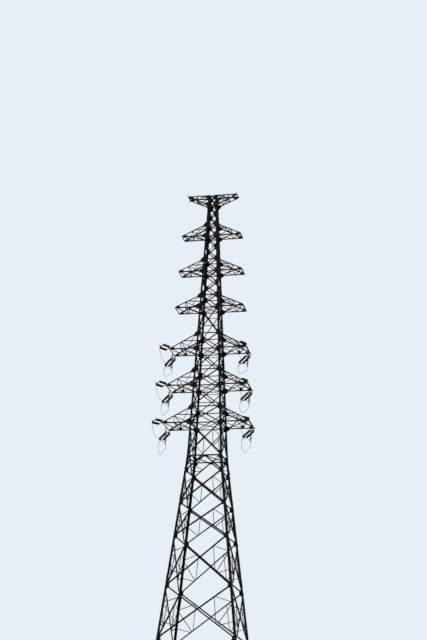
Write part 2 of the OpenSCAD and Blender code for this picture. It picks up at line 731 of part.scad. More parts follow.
module jumper_set(side, i) {
    aim(hang_point(side, i), hang_way) {
        strap_pair(jumper_link - 16);
        translate([0, 0, jumper_link - 26]) cylinder(d = 2 * rod_r + 14, h = 20, $fn = 24);
        translate([0, 0, jumper_link]) disc_string(jumper_discs, 18);
        translate([0, 0, jumper_length() - 30]) cylinder(d = 2 * rod_r + 16, h = 40, $fn = 24);
        translate([0, 0, jumper_length()]) upright_plate(14, [[-22, 0], [22, 0], [26, 60], [-26, 60]]);
    }
    centre = jumper_centre(side, i);
    half = [0, jumper_clamp_l / 2, 0];
    swept_round(centre - half, centre + half, wire_d * 2.1);
}

// Jumper wires

// An arc of wire that leaves p along a direction and ends at q
module wire_arc(p, way, q) {
    run = q - p;
    side = unit(run - (run * way) * way);
    r = run * run / (2 * (run * side));
    axis = cross(way, side);
    multmatrix([
        [-side.x, way.x, axis.x, p.x + r * side.x], [-side.y, way.y, axis.y, p.y + r * side.y],
        [-side.z, way.z, axis.z, p.z + r * side.z], [0, 0, 0, 1]
    ])
        rotate_extrude(angle = 2 * atan2(run * side, run * way), $fn = max(48, ceil(r / 5)))
            translate([r, 0]) circle(d = wire_d, $fn = 32);
}

// Bead over the joint of two arcs, with its poles and its seam square to the wire
module wire_joint(at, way) {
    aim(at, way) rotate([90, 0, 0]) sphere(d = wire_d + 6, $fn = 32);
}

// Two arcs from p to q that meet smoothly: the wire leaves p along way_p and arrives at q along way_q
module wire(p, way_p, q, way_q) {
    v = q - p;
    t = way_p + way_q;
    k = 2 * (1 - way_p * way_q);
    d = (sqrt((v * t) ^ 2 + k * (v * v)) - v * t) / k;
    meet = (p + q + d * (way_p - way_q)) / 2;
    wire_arc(p, way_p, meet);
    wire_arc(q, -way_q, meet);
    wire_joint(meet, unit(v - d * t));
}

module jumper(side, i) {
    half = [0, jumper_clamp_l / 2, 0];
    near_at = string_point(side, i, near_way);
    away_at = string_point(side, i, away_way);
    near_end = terminal_end(near_at, near_way);
    away_end = terminal_end(away_at, away_way);
    clamp = jumper_centre(side, i);
    bottom = [
        mix(clamp.x, away_end.x, loop_share), mix(clamp.y, away_end.y, loop_share),
        clamp.z - loop_drop + i * loop_step
    ];
    bottom_way = unit([away_end.x - clamp.x, away_end.y - clamp.y, 0]);
    wire(near_end, terminal_way(near_way), clamp - half, [0, 1, 0]);
    wire(clamp + half, unit([0, 1, -0.3]), bottom, bottom_way);
    wire(bottom, bottom_way, away_end, -terminal_way(away_way));
    wire_joint(bottom, bottom_way);
}

// Earth-wire clamps

module earth_clamp(at, way) {
    aim(at, way) {
        strap_pair(link_l * 0.7);
        upright_plate(lug_t + 2 * bite, [[-16, link_l / 2], [16, link_l / 2], [12, link_l], [-12, link_l]]);
        translate([0, 0, link_l - 10]) cylinder(d1 = clamp_d, d2 = clamp_d * 0.7, h = clamp_l / 2, $fn = 24);
        translate([0, 0, link_l + clamp_l / 2 - 15]) cylinder(d = clamp_d * 0.5, h = clamp_tail, $fn = 24);
    }
}

module earth_wire_clamps() {
    for (side = sides) for (way = [near_way, away_way])
        earth_clamp(earth_point(side, way), way);
}

for (k = [0 : 3]) {
    color("dimgray") rotate(90 * k) base_shoe();
    color([0.13, 0.12, 0.12]) rotate(90 * k) lower_leg();
    color([0.15, 0.13, 0.12]) rotate(90 * k) upper_leg();
    color([0.2, 0.19, 0.18]) rotate(90 * k) lower_face();
    color([0.22, 0.2, 0.18]) rotate(90 * k) upper_face();
}
color([0.2, 0.19, 0.18]) waist_frame();
color([0.2, 0.19, 0.18]) body_frames();
color("gray") earth_wire_clamps();
for (s = [0, 1]) {
    for (i = [0 : 5])
        color([0.17, 0.16, 0.15]) crossarm(i, sides[s]);
    color([0.17, 0.16, 0.15]) earth_arm(sides[s]);
    color([0.25, 0.14, 0.1]) string_set(sides[s], near_way);
    color([0.25, 0.14, 0.1]) string_set(sides[s], away_way);
    color([0.25, 0.14, 0.1]) for (i = [0 : 2]) jumper_set(sides[s], i);
    color([0.35, 0.36, 0.37]) for (i = [0 : 2]) jumper(sides[s], i);
}
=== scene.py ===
import math
import random

import bpy
from mathutils import Matrix, Vector


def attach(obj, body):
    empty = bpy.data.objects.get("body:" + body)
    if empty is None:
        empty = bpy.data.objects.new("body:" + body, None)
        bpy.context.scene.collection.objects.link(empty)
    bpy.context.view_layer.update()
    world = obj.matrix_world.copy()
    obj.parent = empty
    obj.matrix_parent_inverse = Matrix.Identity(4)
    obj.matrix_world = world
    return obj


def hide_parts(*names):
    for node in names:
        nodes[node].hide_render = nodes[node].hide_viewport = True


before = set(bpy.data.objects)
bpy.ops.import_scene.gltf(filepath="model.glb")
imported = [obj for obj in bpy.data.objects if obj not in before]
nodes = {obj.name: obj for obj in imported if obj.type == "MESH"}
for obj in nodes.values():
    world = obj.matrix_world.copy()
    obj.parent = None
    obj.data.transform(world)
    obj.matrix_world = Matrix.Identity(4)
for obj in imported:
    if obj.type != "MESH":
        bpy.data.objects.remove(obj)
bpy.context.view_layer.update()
random.seed(11)
print("frame loaded,", len(nodes), "nodes")

# The layout of the tower in metres, as the steel is set out
tower = {
    "baseWidth": 6.1, "waistWidth": 2.13, "topWidth": 0.535, "waist": 17.5, "top": 34.875,
    "lowerLevels": [0.3, 3.5, 6.7, 9.665, 12.565, 14.555, 16.535],
    "armLevels": [19.5, 21.885, 24.27, 27.03, 29.495, 31.96],
    "armDepths": [1.03, 1.03, 1.03, 0.845, 0.845, 0.845],
    "armReaches": [2.684, 2.557, 2.43, 2.184, 2.057, 1.93],
    "strungPairs": 3,  # the lowest pairs of crossarms carry the strings
    "earthLow": 34.175, "earthReach": 1.615, "waistLift": 0.05, "waistSlope": 0.96,
    "lowerLeg": 0.14, "lowerLegThick": 0.012, "lowerBrace": 0.076,
    "upperLeg": 0.116, "upperLegThick": 0.009, "upperBrace": 0.058,
    "braceThick": 0.005, "plate": 0.006, "legGap": 0.01,
    "chord": 0.068, "chordThick": 0.006, "armGap": 0.01,
    "tipIn": 1.5, "tipUp": 2.05,  # where the sloping chord ends at a tip, in chord widths
}
# Degrees that each span turns and dips and its pairs tilt, and that the jumper strings swing
span = {
    "near": 12, "away": 41, "nearDip": 8, "awayDip": 16, "nearTilt": 35, "awayTilt": 0,
    "swing": 1.5,
}
sideNames = ((-1, "left"), (1, "right"))


def halfWidth(z):
    t = tower
    if z < t["waist"]:
        return (t["baseWidth"] + (t["waistWidth"] - t["baseWidth"]) * z / t["waist"]) / 2
    share = (z - t["waist"]) / (t["top"] - t["waist"])
    return (t["waistWidth"] + (t["topWidth"] - t["waistWidth"]) * share) / 2


def leanAt(z):
    t = tower
    if z < t["waist"]:
        return (t["baseWidth"] - t["waistWidth"]) / 2 / t["waist"]
    return (t["waistWidth"] - t["topWidth"]) / 2 / (t["top"] - t["waist"])


def quarterTurn(k):
    return Matrix.Rotation(math.pi / 2 * k, 4, "Z")


# x along face k, y up the face, z out of it
def faceFrame(k, across, z):
    out = Vector((0, -1, leanAt(z))).normalized()
    side = Vector((1, 0, 0))
    m = Matrix((side, out.cross(side), out)).transposed().to_4x4()
    m.translation = Vector((across, -halfWidth(z), z))
    return quarterTurn(k) @ m


# z along way, x level
def aimed(at, way):
    side = Vector((0, 1, 0)) if abs(way.z) > 0.9 else way.cross(Vector((0, 0, 1))).normalized()
    m = Matrix((side, way.cross(side), way)).transposed().to_4x4()
    m.translation = at
    return m


def mirrored(side):
    return Matrix.Scale(side, 4, (1, 0, 0))


# Meshes are piled up as plain lists, and each pile becomes one piece

def newPile():
    return {"points": [], "faces": [], "slots": [], "smooth": []}


def addMesh(pile, m, points, faces, slot=0, smooth=False):
    first = len(pile["points"])
    order = -1 if m.determinant() < 0 else 1  # faces stay turned outward in a mirrored part
    pile["points"] += [m @ Vector(p) for p in points]
    pile["faces"] += [[first + i for i in f[::order]] for f in faces]
    pile["slots"] += [slot] * len(faces)
    pile["smooth"] += [smooth] * len(faces)


def addPrism(pile, m, outline, z0, z1, slot=0, smooth=False):
    n = len(outline)
    pairs = zip(outline[-1:] + outline[:-1], outline)
    if sum(a[0] * b[1] - b[0] * a[1] for a, b in pairs) < 0:
        outline = outline[::-1]  # anticlockwise, so that the walls face outward
    points = [(x, y, z) for z in (z0, z1) for x, y in outline]
    walls = [[i, (i + 1) % n, n + (i + 1) % n, n + i] for i in range(n)]
    addMesh(pile, m, points, walls, slot, smooth)
    addMesh(pile, m, points, [list(range(n - 1, -1, -1)), list(range(n, 2 * n))], slot)


def ringOutline(radius, sides, start=0.0):
    angles = [start + 2 * math.pi * i / sides for i in range(sides)]
    return [(radius * math.cos(a), radius * math.sin(a)) for a in angles]


# profile is (radius, height) pairs
def addRevolve(pile, m, profile, sides, slot=0):
    points, rows = [], []
    for r, z in profile:
        if r < 1e-6:
            rows.append([len(points)] * sides)
            points.append((0, 0, z))
        else:
            rows.append(list(range(len(points), len(points) + sides)))
            points += [(x, y, z) for x, y in ringOutline(r, sides)]
    faces = []
    for low, high in zip(rows, rows[1:]):
        for i in range(sides):
            j = (i + 1) % sides
            quad = [low[i], low[j], high[j], high[i]]
            faces.append(list(dict.fromkeys(quad)))
    addMesh(pile, m, points, faces, slot, True)


# A profile moved along its axis. Its radii can be shares of one radius
def raised(profile, z, radius=1):
    return [(radius * r, z + height) for r, height in profile]


# A round bar or wire through a list of points, with flat ends
def addTube(pile, path, radius, sides, slot=0):
    rings, points = [], []
    side = None
    for i, p in enumerate(path):
        way = (path[min(i + 1, len(path) - 1)] - path[max(i - 1, 0)]).normalized()
        if side is None:
            side = way.orthogonal().normalized()
        side = (side - way * side.dot(way)).normalized()
        up = way.cross(side)
        rings.append(range(len(points), len(points) + sides))
        points += [p + radius * (math.cos(a) * side + math.sin(a) * up)
                   for a in (2 * math.pi * j / sides for j in range(sides))]
    faces = [[low[j], low[(j + 1) % sides], high[(j + 1) % sides], high[j]]
             for low, high in zip(rings, rings[1:]) for j in range(sides)]
    addMesh(pile, Matrix(), points, faces, slot, True)
    addMesh(pile, Matrix(), points, [list(rings[0])[::-1], list(rings[-1])], slot)


def makePiece(name, pile, materials):
    mesh = bpy.data.meshes.new(name)
    mesh.from_pydata(pile["points"], [], pile["faces"])
    mesh.validate()
    mesh.polygons.foreach_set("material_index", pile["slots"])
    mesh.polygons.foreach_set("use_smooth", pile["smooth"])
    for material in materials:
        mesh.materials.append(material)
    mesh.update()
    piece = bpy.data.objects.new(name, mesh)
    bpy.context.scene.collection.objects.link(piece)
    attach(piece, "root")
    return piece


# Shader helpers

def link(tree, source, target):
    if isinstance(source, (int, float)):
        target.default_value = source
    elif isinstance(source, tuple):
        target.default_value = (*source, 1.0) if len(source) == 3 else source
    else:
        tree.links.new(source, target)


def mixColour(tree, factor, a, b):
    node = tree.nodes.new("ShaderNodeMix")
    node.data_type = "RGBA"
    link(tree, factor, node.inputs[0])
    link(tree, a, node.inputs[6])
    link(tree, b, node.inputs[7])
    return node.outputs[2]


def multiply(tree, a, b):
    node = tree.nodes.new("ShaderNodeMath")
    node.operation = "MULTIPLY"
    link(tree, a, node.inputs[0])
    link(tree, b, node.inputs[1])
    return node.outputs[0]


def rampNode(tree, value, low, high, outLow=0.0, outHigh=1.0):
    node = tree.nodes.new("ShaderNodeMapRange")
    link(tree, value, node.inputs["Value"])
    ends = (("From Min", low), ("From Max", high), ("To Min", outLow), ("To Max", outHigh))
    for name, number in ends:
        link(tree, number, node.inputs[name])
    return node.outputs["Result"]


def noiseNode(tree, vector, scale, detail, rough=0.55, stretch=None):
    if stretch:
        mapping = tree.nodes.new("ShaderNodeMapping")
        mapping.inputs["Scale"].default_value = stretch
        link(tree, vector, mapping.inputs["Vector"])
        vector = mapping.outputs["Vector"]
    node = tree.nodes.new("ShaderNodeTexNoise")
    link(tree, vector, node.inputs["Vector"])
    link(tree, scale, node.inputs["Scale"])
    node.inputs["Detail"].default_value = detail
    node.inputs["Roughness"].default_value = rough
    return node.outputs["Fac"]


def newGroup(name, inputs, outputs):
    group = bpy.data.node_groups.new(name, "ShaderNodeTree")
    for title, kind, default in inputs:
        socket = group.interface.new_socket(title, in_out="INPUT", socket_type=kind)
        if default is not None:
            socket.default_value = default
    for title, kind in outputs:
        group.interface.new_socket(title, in_out="OUTPUT", socket_type=kind)
    given = group.nodes.new("NodeGroupInput").outputs
    made = group.nodes.new("NodeGroupOutput").inputs
    return group, given, made


# Weather: broad patches, streaks that run down, and a fine mottle
weather, given, made = newGroup(
    "weather",
    [("Vector", "NodeSocketVector", None), ("Patch Scale", "NodeSocketFloat", 0.8),
     ("Streak Scale", "NodeSocketFloat", 14.0), ("Mottle Scale", "NodeSocketFloat", 60.0)],
    [("Patches", "NodeSocketFloat"), ("Streaks", "NodeSocketFloat"), ("Mottle", "NodeSocketFloat")])
broad = noiseNode(weather, given["Vector"], given["Patch Scale"], detail=5.0, rough=0.6)
weather.links.new(rampNode(weather, broad, low=0.42, high=0.66), made["Patches"])
runs = noiseNode(weather, given["Vector"], given["Streak Scale"], detail=3.0, rough=0.5,
                 stretch=(1, 1, 0.06))
weather.links.new(rampNode(weather, runs, low=0.5, high=0.75), made["Streaks"])
fine = noiseNode(weather, given["Vector"], given["Mottle Scale"], detail=6.0, rough=0.65)
weather.links.new(fine, made["Mottle"])

# Dust settles on what faces up
dust, given, made = newGroup(
    "settledDust",
    [("Vector", "NodeSocketVector", None), ("Amount", "NodeSocketFloat", 0.5)],
    [("Mask", "NodeSocketFloat")])
geometry = dust.nodes.new("ShaderNodeNewGeometry")
split = dust.nodes.new("ShaderNodeSeparateXYZ")
dust.links.new(geometry.outputs["Normal"], split.inputs["Vector"])
facing = rampNode(dust, split.outputs["Z"], low=0.25, high=0.95)
clumps = noiseNode(dust, given["Vector"], 9.0, detail=5.0, rough=0.6)
cover = rampNode(dust, clumps, low=0.35, high=0.7)
dust.links.new(multiply(dust, multiply(dust, facing, cover), given["Amount"]), made["Mask"])

# Zinc shows as soft crystals of slightly different greys
zinc, given, made = newGroup(
    "zincSpangle",
    [("Vector", "NodeSocketVector", None), ("Scale", "NodeSocketFloat", 90.0)],
    [("Shade", "NodeSocketFloat"), ("Relief", "NodeSocketFloat")])
cells = zinc.nodes.new("ShaderNodeTexVoronoi")
zinc.links.new(given["Vector"], cells.inputs["Vector"])
zinc.links.new(given["Scale"], cells.inputs["Scale"])
bright = zinc.nodes.new("ShaderNodeSeparateColor")
zinc.links.new(cells.outputs["Color"], bright.inputs[0])
zinc.links.new(bright.outputs[0], made["Shade"])
zinc.links.new(noiseNode(zinc, given["Vector"], 220.0, detail=3.0), made["Relief"])


def newMaterial(name):
    material = bpy.data.materials.new(name)
    material.use_nodes = True
    tree = material.node_tree
    shader = tree.nodes["Principled BSDF"]
    place = tree.nodes.new("ShaderNodeTexCoord").outputs["Object"]
    return material, tree, shader, place


def placeGroup(tree, group, place, values):
    node = tree.nodes.new("ShaderNodeGroup")
    node.node_tree = group
    tree.links.new(place, node.inputs["Vector"])
    for title, value in values.items():
        link(tree, value, node.inputs[title])
    return node.outputs


# Lays a colour over another by a mask that varies, at no more than the share
def glaze(tree, mask, share, under, over):
    return mixColour(tree, multiply(tree, mask, share), under, over)


# Roughness that follows the mottle between two values
def roughBy(tree, shader, mottle, low, high):
    rough = rampNode(tree, mottle, low=0.3, high=0.7, outLow=low, outHigh=high)
    tree.links.new(rough, shader.inputs["Roughness"])


def bumpInto(tree, shader, height, strength, distance):
    bump = tree.nodes.new("ShaderNodeBump")
    bump.inputs["Strength"].default_value = strength
    bump.inputs["Distance"].default_value = distance
    link(tree, height, bump.inputs["Height"])
    tree.links.new(bump.outputs["Normal"], shader.inputs["Normal"])


# Dark coating, made near black by painted shade of the backlit tower, that has weathered brown,
# with pale dust and small worn spots
def paintedSteel(name, look):
    material, tree, shader, place = newMaterial(name)
    worn = placeGroup(tree, weather, place, {
        "Patch Scale": look["patchScale"], "Streak Scale": look["streakScale"]})
    settled = placeGroup(tree, dust, place, {"Amount": look["dust"]})
    # The coat under the brown is dark paint with painted shade of the backlit tower in it
    colour = glaze(tree, worn["Patches"], look["brownShare"], look["coat"], look["brown"])
    colour = glaze(tree, worn["Streaks"], look["streaks"], colour, look["streakColour"])
    spots = rampNode(tree, worn["Mottle"], low=0.66, high=0.72)
    colour = glaze(tree, spots, look["spots"], colour, look["spotColour"])
    colour = mixColour(tree, settled["Mask"], colour, look["dustColour"])
    tree.links.new(colour, shader.inputs["Base Color"])
    roughBy(tree, shader, worn["Mottle"], look["rough"] - 0.1, look["rough"] + 0.12)
    shader.inputs["Specular IOR Level"].default_value = look["specular"]
    bumpInto(tree, shader, worn["Mottle"], strength=0.35, distance=0.0012)
    return material


def galvanised(name, look):
    material, tree, shader, place = newMaterial(name)
    worn = placeGroup(tree, weather, place, {
        "Patch Scale": 5.0, "Streak Scale": 40.0, "Mottle Scale": 140.0})
    crystal = placeGroup(tree, zinc, place, {"Scale": look["spangle"]})
    colour = mixColour(tree, crystal["Shade"], look["dark"], look["pale"])
    colour = glaze(tree, worn["Patches"], look["grimeShare"], colour, look["grime"])
    colour = glaze(tree, worn["Streaks"], look["rustShare"], colour, look["rust"])
    tree.links.new(colour, shader.inputs["Base Color"])
    shader.inputs["Metallic"].default_value = look["metallic"]
    shader.inputs["Specular IOR Level"].default_value = look["specular"]
    roughBy(tree, shader, worn["Mottle"], look["rough"] - 0.08, look["rough"] + 0.1)
    bumpInto(tree, shader, crystal["Relief"], strength=0.3, distance=0.0006)
    return material


def glazedPorcelain(name, look):
    material, tree, shader, place = newMaterial(name)
    worn = placeGroup(tree, weather, place, {
        "Patch Scale": 7.0, "Streak Scale": 30.0, "Mottle Scale": 180.0})
    settled = placeGroup(tree, dust, place, {"Amount": look["dust"]})
    colour = mixColour(tree, worn["Patches"], look["dark"], look["brown"])
    colour = glaze(tree, worn["Mottle"], look["fleckShare"], colour, look["fleck"])
    colour = mixColour(tree, settled["Mask"], colour, look["dustColour"])
    tree.links.new(colour, shader.inputs["Base Color"])
    rough = rampNode(tree, settled["Mask"], low=0.0, high=0.6,
                     outLow=look["rough"], outHigh=look["dustRough"])
    tree.links.new(rough, shader.inputs["Roughness"])
    shader.inputs["Specular IOR Level"].default_value = look["specular"]
    shader.inputs["Coat Weight"].default_value = look["coat"]
    shader.inputs["Coat Roughness"].default_value = look["coatRough"]
    bumpInto(tree, shader, worn["Mottle"], strength=0.12, distance=0.0008)
    return material


# Strands that wind round the wire show as slanting grooves
def strandedWire(name, look):
    material, tree, shader, place = newMaterial(name)
    worn = placeGroup(tree, weather, place, {"Patch Scale": 4.0, "Mottle Scale": 150.0})
    wave = tree.nodes.new("ShaderNodeTexWave")
    wave.wave_type = "BANDS"
    wave.bands_direction = "DIAGONAL"
    wave.inputs["Scale"].default_value = look["strands"]
    wave.inputs["Distortion"].default_value = look["waver"]
    tree.links.new(place, wave.inputs["Vector"])
    colour = mixColour(tree, wave.outputs["Fac"], look["groove"], look["crest"])
    colour = glaze(tree, worn["Patches"], look["dullShare"], colour, look["dull"])
    tree.links.new(colour, shader.inputs["Base Color"])
    shader.inputs["Metallic"].default_value = look["metallic"]
    shader.inputs["Specular IOR Level"].default_value = look["specular"]
    roughBy(tree, shader, worn["Mottle"], *look["rough"])
    bumpInto(tree, shader, wave.outputs["Fac"], strength=0.7, distance=0.0015)
    return material


# The coat colour is dark paint darkened further to near black as painted shade of the backlit tower
darkCoatAndPaintedShade = {
    "coat": (0.0026, 0.0026, 0.0031), "brown": (0.0170, 0.0122, 0.0100), "brownShare": 0.55,
    "streakColour": (0.0012, 0.0012, 0.0015), "streaks": 0.6,
    "spotColour": (0.07, 0.062, 0.057), "spots": 0.3,
    "dustColour": (0.045, 0.040, 0.034), "dust": 0.4, "rough": 0.74, "specular": 0.1,
    "patchScale": 0.55, "streakScale": 16.0,
}
legSteel = paintedSteel("legSteel", darkCoatAndPaintedShade)
# This coat is near black too, partly painted shade
braceSteel = paintedSteel("braceSteel", {
    **darkCoatAndPaintedShade, "coat": (0.003, 0.0029, 0.0033), "brown": (0.0190, 0.0138, 0.0112),
    "patchScale": 0.9,
})
armSteel = paintedSteel("armSteel", {
    **darkCoatAndPaintedShade, "brown": (0.0150, 0.0112, 0.0094), "patchScale": 1.4,
})
footSteel = paintedSteel("footSteel", {
    **darkCoatAndPaintedShade, "dust": 0.8, "brownShare": 0.9, "streakScale": 30.0,
})
boltSteel = galvanised("boltSteel", {
    "dark": (0.02, 0.02, 0.021), "pale": (0.05, 0.049, 0.048),
    "grime": (0.012, 0.01, 0.009), "grimeShare": 0.6,
    "rust": (0.07, 0.03, 0.014), "rustShare": 0.3,
    "metallic": 0.5, "specular": 0.3, "rough": 0.5, "spangle": 160.0,
})
capSteel = galvanised("capSteel", {
    "dark": (0.012, 0.012, 0.013), "pale": (0.034, 0.034, 0.036),
    "grime": (0.007, 0.0065, 0.006), "grimeShare": 0.6,
    "rust": (0.034, 0.015, 0.008), "rustShare": 0.4,
    "metallic": 0.4, "specular": 0.15, "rough": 0.6, "spangle": 130.0,
})
fittingSteel = galvanised("fittingSteel", {
    "dark": (0.013, 0.013, 0.014), "pale": (0.036, 0.036, 0.038),
    "grime": (0.008, 0.0075, 0.007), "grimeShare": 0.5,
    "rust": (0.03, 0.016, 0.009), "rustShare": 0.25,
    "metallic": 0.4, "specular": 0.15, "rough": 0.6, "spangle": 80.0,
})
porcelainGlaze = glazedPorcelain("porcelainGlaze", {
    "dark": (0.003, 0.0021, 0.0021), "brown": (0.0125, 0.006, 0.0044),
    "fleck": (0.0018, 0.0014, 0.0013), "fleckShare": 0.35,
    "dust": 0.22, "dustColour": (0.022, 0.02, 0.018), "dustRough": 0.6,
    "rough": 0.36, "specular": 0.18, "coat": 0.06, "coatRough": 0.08,
})
wireMetal = strandedWire("wireMetal", {
    "strands": 70.0, "waver": 0.6, "groove": (0.003, 0.003, 0.0035), "crest": (0.016, 0.016, 0.018),
    "dull": (0.007, 0.007, 0.008), "dullShare": 0.5,
    "metallic": 0.25, "specular": 0.12, "rough": (0.58, 0.74),
})
clampMetal = galvanised("clampMetal", {
    "dark": (0.016, 0.016, 0.017), "pale": (0.042, 0.042, 0.044),
    "grime": (0.009, 0.0085, 0.008), "grimeShare": 0.5,
    "rust": (0.02, 0.018, 0.016), "rustShare": 0.2,
    "metallic": 0.5, "specular": 0.2, "rough": 0.52, "spangle": 60.0,
})
print("materials made")

# The first of these words in a node's name picks its finish, and the empty one takes the rest
finishes = {
    "leg": legSteel, "shoe": footSteel, "arm": armSteel, "strings": porcelainGlaze,
    "wires": wireMetal, "clamps": fittingSteel, "": braceSteel,
}
for name, part in nodes.items():
    finish = next(material for word, material in finishes.items() if word in name)
    part.data.materials.clear()
    part.data.materials.append(finish)
print("steel coated")

# Camera, floor and light
view = {
    "place": Vector((14.315, -72.137, 0.736)), "yaw": -11.088, "pitch": 19.211, "roll": 1.189,
    "focalPixels": 1237.2, "photoHeight": 640, "sensor": 36.0, "clip": (0.1, 2000),
}
yaw, pitch, roll = (math.radians(view[a]) for a in ("yaw", "pitch", "roll"))
ahead = Vector((math.sin(yaw) * math.cos(pitch), math.cos(yaw) * math.cos(pitch), math.sin(pitch)))
level = Vector((math.cos(yaw), -math.sin(yaw), 0))
above = level.cross(ahead)
rightOf = math.cos(roll) * level + math.sin(roll) * above
topOf = math.cos(roll) * above - math.sin(roll) * level
turn = Matrix((rightOf, topOf, -ahead)).transposed().to_4x4()
camera = bpy.data.objects.new("camera", bpy.data.cameras.new("camera"))
camera.matrix_world = Matrix.Translation(view["place"]) @ turn
camera.data.sensor_fit = "VERTICAL"
camera.data.sensor_height = view["sensor"]
camera.data.sensor_width = view["sensor"]
camera.data.lens = view["sensor"] * view["focalPixels"] / view["photoHeight"]
camera.data.clip_start, camera.data.clip_end = view["clip"]
bpy.context.scene.collection.objects.link(camera)
bpy.context.scene.camera = camera

ground = {"colour": (0.78, 0.78, 0.77), "rough": 0.9, "specular": 0.1, "reach": 900}
floorMaterial, _, floorShader, _ = newMaterial("paleFloor")
floorShader.inputs["Base Color"].default_value = (*ground["colour"], 1)
floorShader.inputs["Roughness"].default_value = ground["rough"]
floorShader.inputs["Specular IOR Level"].default_value = ground["specular"]
floorMesh = bpy.data.meshes.new("floor")
far = ground["reach"]
corners = [(-far, -far, 0), (far, -far, 0), (far, far, 0), (-far, far, 0)]
floorMesh.from_pydata(corners, [], [(0, 1, 2, 3)])
floorMesh.materials.append(floorMaterial)
floor = bpy.data.objects.new("floor", floorMesh)
bpy.context.scene.collection.objects.link(floor)

light = {
    "seen": (0.80, 0.86, 0.92), "fill": (0.95, 0.97, 1.0), "fillStrength": 0.62,
    "sun": 1.5, "sunAngle": 35, "sunTurn": (42, -8, -38),
}
world = bpy.data.worlds.new("paleSky")
bpy.context.scene.world = world
world.use_nodes = True
air = world.node_tree
air.nodes.clear()
rays = air.nodes.new("ShaderNodeLightPath")
shades = []
for colour, strength in ((light["fill"], light["fillStrength"]), (light["seen"], 1.0)):
    shade = air.nodes.new("ShaderNodeBackground")
    shade.inputs["Color"].default_value = (*colour, 1)
    shade.inputs["Strength"].default_value = strength
    shades.append(shade)
show = air.nodes.new("ShaderNodeMath")  # what the camera and gloss see
show.operation = "MAXIMUM"
air.links.new(rays.outputs["Is Camera Ray"], show.inputs[0])
air.links.new(rays.outputs["Is Glossy Ray"], show.inputs[1])
mixed = air.nodes.new("ShaderNodeMixShader")
air.links.new(show.outputs[0], mixed.inputs[0])
air.links.new(shades[0].outputs[0], mixed.inputs[1])
air.links.new(shades[1].outputs[0], mixed.inputs[2])
air.links.new(mixed.outputs[0], air.nodes.new("ShaderNodeOutputWorld").inputs[0])
sun = bpy.data.objects.new("sun", bpy.data.lights.new("sun", "SUN"))
sun.data.energy = light["sun"]
sun.data.angle = math.radians(light["sunAngle"])
sun.rotation_euler = [math.radians(a) for a in light["sunTurn"]]
bpy.context.scene.collection.objects.link(sun)
bpy.context.scene.view_settings.view_transform = "Standard"
print("camera, floor and light placed")

# Insulators: one disc unit, cap first, repeated along each string
disc = {
    "pitch": 0.085, "count": 10, "sides": 24, "capSides": 20, "pinSides": 10,
    "cap": [(0, 0.001), (0.0155, 0.001), (0.021, 0.005), (0.022, 0.014), (0.0195, 0.020),
            (0.023, 0.028), (0.0265, 0.035), (0.0265, 0.039)],
    "shed": [(0.0255, 0.0385), (0.032, 0.040), (0.0435, 0.0465), (0.059, 0.0555), (0.071, 0.061),
             (0.075, 0.0645), (0.0747, 0.068), (0.0715, 0.0687), (0.066, 0.0635), (0.061, 0.068),
             (0.0573, 0.068), (0.053, 0.060), (0.0467, 0.067), (0.043, 0.067), (0.039, 0.058),
             (0.0325, 0.065), (0.029, 0.065), (0.0248, 0.0548), (0.012, 0.0535)],
    "pin": [(0.011, 0.0525), (0.010, 0.072), (0.014, 0.0805), (0.016, 0.085), (0, 0.0868)],
}
discsLong = disc["count"] * disc["pitch"]
stringFinish = [porcelainGlaze, capSteel, fittingSteel, clampMetal]
porcelain, cap, metal, cast = range(4)  # the slots of those four


def addDiscs(pile, m):
    for k in range(disc["count"]):
        unit = m @ Matrix.Translation((0, 0, k * disc["pitch"]))
        addRevolve(pile, unit, disc["cap"], disc["capSides"], cap)
        addRevolve(pile, unit, disc["shed"], disc["sides"], porcelain)
        addRevolve(pile, unit, disc["pin"], disc["pinSides"], cap)


# An outline with its corners rounded off
def roundedPlate(corners, radius, steps=3):
    outline = []
    n = len(corners)
    for i, c in enumerate(corners):
        here = Vector(c)
        before = (Vector(corners[i - 1]) - here).normalized()
        after = (Vector(corners[(i + 1) % n]) - here).normalized()
        start, end = here + before * radius, here + after * radius
        for s in range(steps + 1):
            t = s / steps
            outline.append(tuple(start * (1 - t) ** 2 + here * 2 * t * (1 - t) + end * t ** 2))
    return outline


# A plate in the x and z plane of m
def flatPlate(pile, m, corners, thick, radius, slot):
    turned = m @ Matrix.Rotation(math.pi / 2, 4, "X")
    addPrism(pile, turned, roundedPlate(corners, radius), -thick / 2, thick / 2, slot)


def uprightOutline(x, z0, z1, top=None):
    top = top or x
    return [(-x, z0), (x, z0), (top, z1), (-top, z1)]


# How far the parts of a pin stand out past the plates
pin = {
    "head": 0.006, "nut": 0.008, "shank": 0.008, "tail": 0.012, "sink": 0.002,
    "wide": 1.8, "sides": 10,
}


# A bolt across the plates, with a hexagonal head and a nut
def addPin(pile, m, z, x, length, radius):
    turned = m @ Matrix.Translation((x, 0, z)) @ Matrix.Rotation(math.pi / 2, 4, "X")
    end, shank = length / 2, ringOutline(radius, pin["sides"])
    hexagon = ringOutline(radius * pin["wide"], 6)
    addPrism(pile, turned, shank, -end - pin["shank"], end + pin["tail"], metal, True)
    addPrism(pile, turned, hexagon, -end - pin["head"], -end + pin["sink"], metal)
    addPrism(pile, turned, hexagon, end - pin["sink"], end + pin["nut"], metal)


